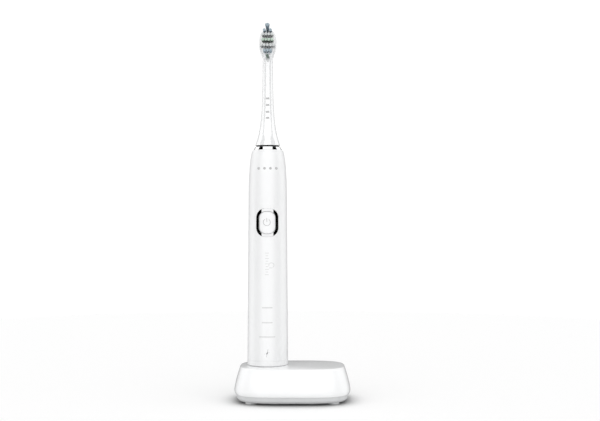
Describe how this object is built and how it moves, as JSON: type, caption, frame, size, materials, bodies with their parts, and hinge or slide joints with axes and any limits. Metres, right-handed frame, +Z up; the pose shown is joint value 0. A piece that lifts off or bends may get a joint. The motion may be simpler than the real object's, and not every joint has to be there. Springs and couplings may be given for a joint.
{
  "type": "electric toothbrush on charger",
  "caption": "Slim white electric toothbrush with a bristle head, standing on the post of a low rounded charging base.",
  "frame": {"origin": "middle of the base's footprint, on the surface that the feet stand on", "axes": "+Z up along the brush, -Y the front with the power button and the bristles, +X to the right seen from the front; the brush stands on the left half of the base"},
  "size_m": [0.084, 0.058, 0.2731],
  "materials": {
    "white_shell": "high gloss",
    "grey_plinth": "fine satin",
    "light_rubber": "matt",
    "dark_rubber": "matt",
    "chrome_trim": "mirror",
    "steel": "satin",
    "copper_wire": "enamelled copper wire",
    "natural_nylon": "satin",
    "ferrite": "matt",
    "lamination": "ground",
    "magnet": "nickel plated",
    "circuit_board": "solder mask",
    "electronic_parts": "moulded",
    "lamp": "clear",
    "clear_plastic": "frosted light guide",
    "black_plastic": "satin",
    "red_plastic": "moulded",
    "cell_wrap": "shrink wrap",
    "bronze": "sintered",
    "bristle_white": "nylon filament",
    "bristle_green": "nylon filament",
    "bristle_blue": "nylon filament"
  },
  "bodies": {
    "charger": {"base_shell": "white_shell", "base_cover": "grey_plinth", "rubber_feet": "light_rubber", "base_screws": "steel", "primary_bobbin": "natural_nylon", "primary_coil": "copper_wire", "ferrite_core": "ferrite", "charger_board": "circuit_board", "charger_parts": "electronic_parts", "charger_board_screws": "steel", "cord_gland": "light_rubber"},
    "handle": {"handle_shell": "white_shell", "end_cap": "white_shell", "end_cap_seal": "dark_rubber", "secondary_bobbin": "natural_nylon", "secondary_coil": "copper_wire", "chassis": "natural_nylon", "battery": "cell_wrap", "battery_tabs": "steel", "main_board": "circuit_board", "board_parts": "electronic_parts", "board_screws": "steel", "mode_leds": "lamp", "light_guides": "clear_plastic", "tact_switch": "black_plastic", "button_bezel": "chrome_trim", "button_seal": "dark_rubber", "motor_housing": "steel", "motor_rear_cap": "black_plastic", "stator_core": "lamination", "stator_coil": "copper_wire", "upper_bush": "bronze", "lower_bush": "bronze", "return_spring": "steel", "damper_ring": "dark_rubber", "shaft_seal": "dark_rubber", "top_collar": "chrome_trim"},
    "drive": {"drive_shaft": "steel", "rotor_hub": "natural_nylon", "rotor_magnet": "magnet"},
    "power_button": {"power_button": "white_shell", "switch_plunger": "red_plastic"},
    "brush_head": {"head_body": "white_shell", "shaft_socket": "natural_nylon", "retaining_clip": "steel", "bristles_white": "bristle_white", "bristles_green": "bristle_green", "bristles_blue": "bristle_blue", "tuft_anchors": "bronze"}
  },
  "joints": [
    {"name": "handle_lift", "type": "slide", "parent": "charger", "child": "handle", "axis": [0, 0, 1], "range_m": [0, 0.06]},
    {"name": "shaft_swing", "type": "hinge", "parent": "handle", "child": "drive", "pos_m": [-0.018, 0, 0.147], "axis": [0, 0, 1], "range_deg": [-5, 5], "stiffness_Nm_per_rad": 0.5, "deforming": ["return_spring"]},
    {"name": "head_pull", "type": "slide", "parent": "drive", "child": "brush_head", "axis": [0, 0, 1], "range_m": [0, 0.03]},
    {"name": "power_press", "type": "slide", "parent": "handle", "child": "power_button", "axis": [0, 1, 0], "range_m": [0, 0.0005], "stiffness_N_per_m": 2000}
  ]
}
